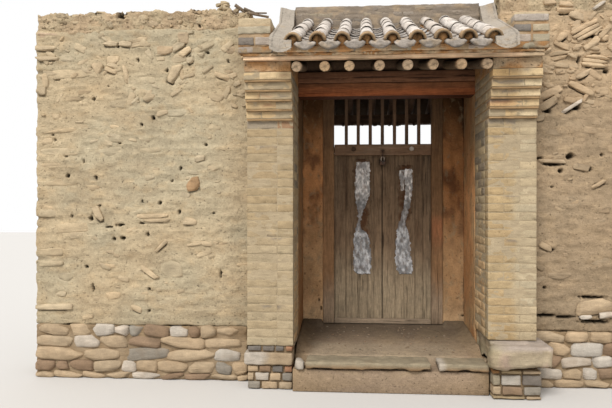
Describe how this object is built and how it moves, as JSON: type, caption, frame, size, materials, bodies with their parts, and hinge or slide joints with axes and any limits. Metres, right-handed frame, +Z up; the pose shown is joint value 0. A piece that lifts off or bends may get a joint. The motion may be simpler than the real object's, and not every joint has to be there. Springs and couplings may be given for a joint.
{
  "type": "courtyard gateway",
  "caption": "Village courtyard gateway with brick piers, a small tiled roof over a recessed plank door, and mud-plastered stone walls on both sides.",
  "frame": {"origin": "on the flat underside of the floor at ground level, midway between the brick piers, in the plane of their front faces", "axes": "+X to the right along the wall seen from the street, +Y into the courtyard, +Z up"},
  "size_m": [6.94, 2.8003, 3.7491],
  "materials": {
    "mud_plaster": "sun-dried mud plaster with stones showing through, matt",
    "adobe": "rough mud clods, matt",
    "field_stone": "rough field stone",
    "yellow_brick": "thin yellow-buff brick with mud joints, weathered",
    "grey_brick": "grey brick with mud joints, weathered",
    "stained_plaster": "red-brown stained mud plaster, streaked",
    "packed_earth": "packed earth",
    "door_wood": "weathered bare plank, grooved grain",
    "dark_wood": "dark aged timber",
    "red_wood": "red-brown aged timber",
    "pale_wood": "pale weathered timber",
    "roof_tile": "clay tile with pale lime wash, matt",
    "lime_plaster": "pale lime plaster, matt",
    "iron": "rusted dark iron",
    "paper": "torn blank paper pasted on wood"
  },
  "bodies": {
    "gateway": {"door_sill": "pale_wood", "eave_board": "pale_wood", "eave_brick_course": "grey_brick", "eave_mud_layer": "mud_plaster", "front_roof_bed": "adobe", "front_tiles": "roof_tile", "left_door_post": "dark_wood", "left_edge_slab": "field_stone", "left_end_block": "grey_brick", "left_infill_panel": "stained_plaster", "left_passage_wall": "stained_plaster", "left_pier": "yellow_brick", "left_pier_footing": "grey_brick", "left_pivot_stone": "field_stone", "left_verge": "lime_plaster", "left_wall": "mud_plaster", "left_wall_cap": "adobe", "left_wall_footing": "field_stone", "lock_link": "iron", "lock_staple": "iron", "lower_lintel": "red_wood", "padlock": "iron", "pivot_rail": "dark_wood", "porch_floor": "packed_earth", "rafter_1": "pale_wood", "rafter_2": "pale_wood", "rafter_3": "pale_wood", "rafter_4": "pale_wood", "rafter_5": "pale_wood", "rafter_6": "pale_wood", "rafter_7": "pale_wood", "rafter_8": "pale_wood", "rear_roof_bed": "adobe", "rear_roof_frame": "dark_wood", "rear_tiles": "roof_tile", "ridge": "grey_brick", "right_door_post": "dark_wood", "right_edge_slab": "field_stone", "right_end_block": "grey_brick", "right_infill_panel": "stained_plaster", "right_passage_wall": "stained_plaster", "right_pier": "yellow_brick", "right_pier_boulder": "field_stone", "right_pier_footing": "field_stone", "right_pivot_stone": "field_stone", "right_verge": "lime_plaster", "right_wall": "mud_plaster", "right_wall_cap": "adobe", "right_wall_footing": "field_stone", "transom_grille": "dark_wood", "upper_lintel": "dark_wood"},
    "left_door": {"left_door_leaf": "door_wood"},
    "right_door": {"right_door_leaf": "door_wood"}
  },
  "joints": [
    {"name": "left_door_hinge", "type": "hinge", "parent": "gateway", "child": "left_door", "pos_m": [-0.56, 1.2878, 0.4], "axis": [0, 0, 1], "range_deg": [0, 90]},
    {"name": "right_door_hinge", "type": "hinge", "parent": "gateway", "child": "right_door", "pos_m": [0.56, 1.2878, 0.4], "axis": [0, 0, -1], "range_deg": [0, 90]}
  ]
}
